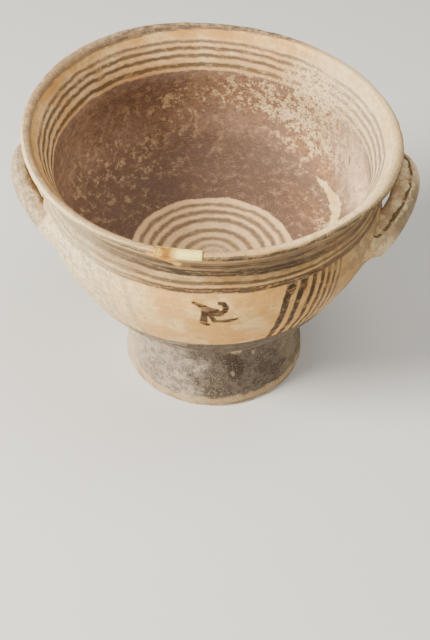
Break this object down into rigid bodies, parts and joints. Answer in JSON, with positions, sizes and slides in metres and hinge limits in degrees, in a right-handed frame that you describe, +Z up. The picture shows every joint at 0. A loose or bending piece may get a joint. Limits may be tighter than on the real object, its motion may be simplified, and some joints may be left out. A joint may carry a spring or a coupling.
{
  "type": "footed bowl",
  "caption": "Painted clay bowl with an everted lip, two horizontal loop handles and a low hollow pedestal foot that is open below.",
  "frame": {"origin": "under the middle of the whole object's bounding box, on the surface it stands on", "axes": "+Z up out of the bowl's mouth, handles at -X and +X, painted front panel facing -Y"},
  "size_m": [0.1808, 0.1592, 0.1386],
  "materials": {
    "painted_clay": "matt cream slip with brushed red-brown and black-brown bands, worn, with pale encrustation",
    "foot_clay": "matt thin grey-brown wash over cream slip, blotched and worn",
    "handle_clay": "matt cream slip with a worn brown brushed band along the outside",
    "luting_clay": "matt smoothed clay under slip and wash",
    "repair_fill": "matt pale plaster fill with an ochre edge"
  },
  "bodies": {
    "root": {"bowl_body": "painted_clay", "rim_repair_fill": "repair_fill", "pedestal_foot": "foot_clay", "foot_luting_collar": "luting_clay", "handle_left": "handle_clay", "handle_right": "handle_clay", "handle_left_front_luting": "luting_clay", "handle_left_rear_luting": "luting_clay", "handle_right_front_luting": "luting_clay", "handle_right_rear_luting": "luting_clay"}
  },
  "joints": []
}
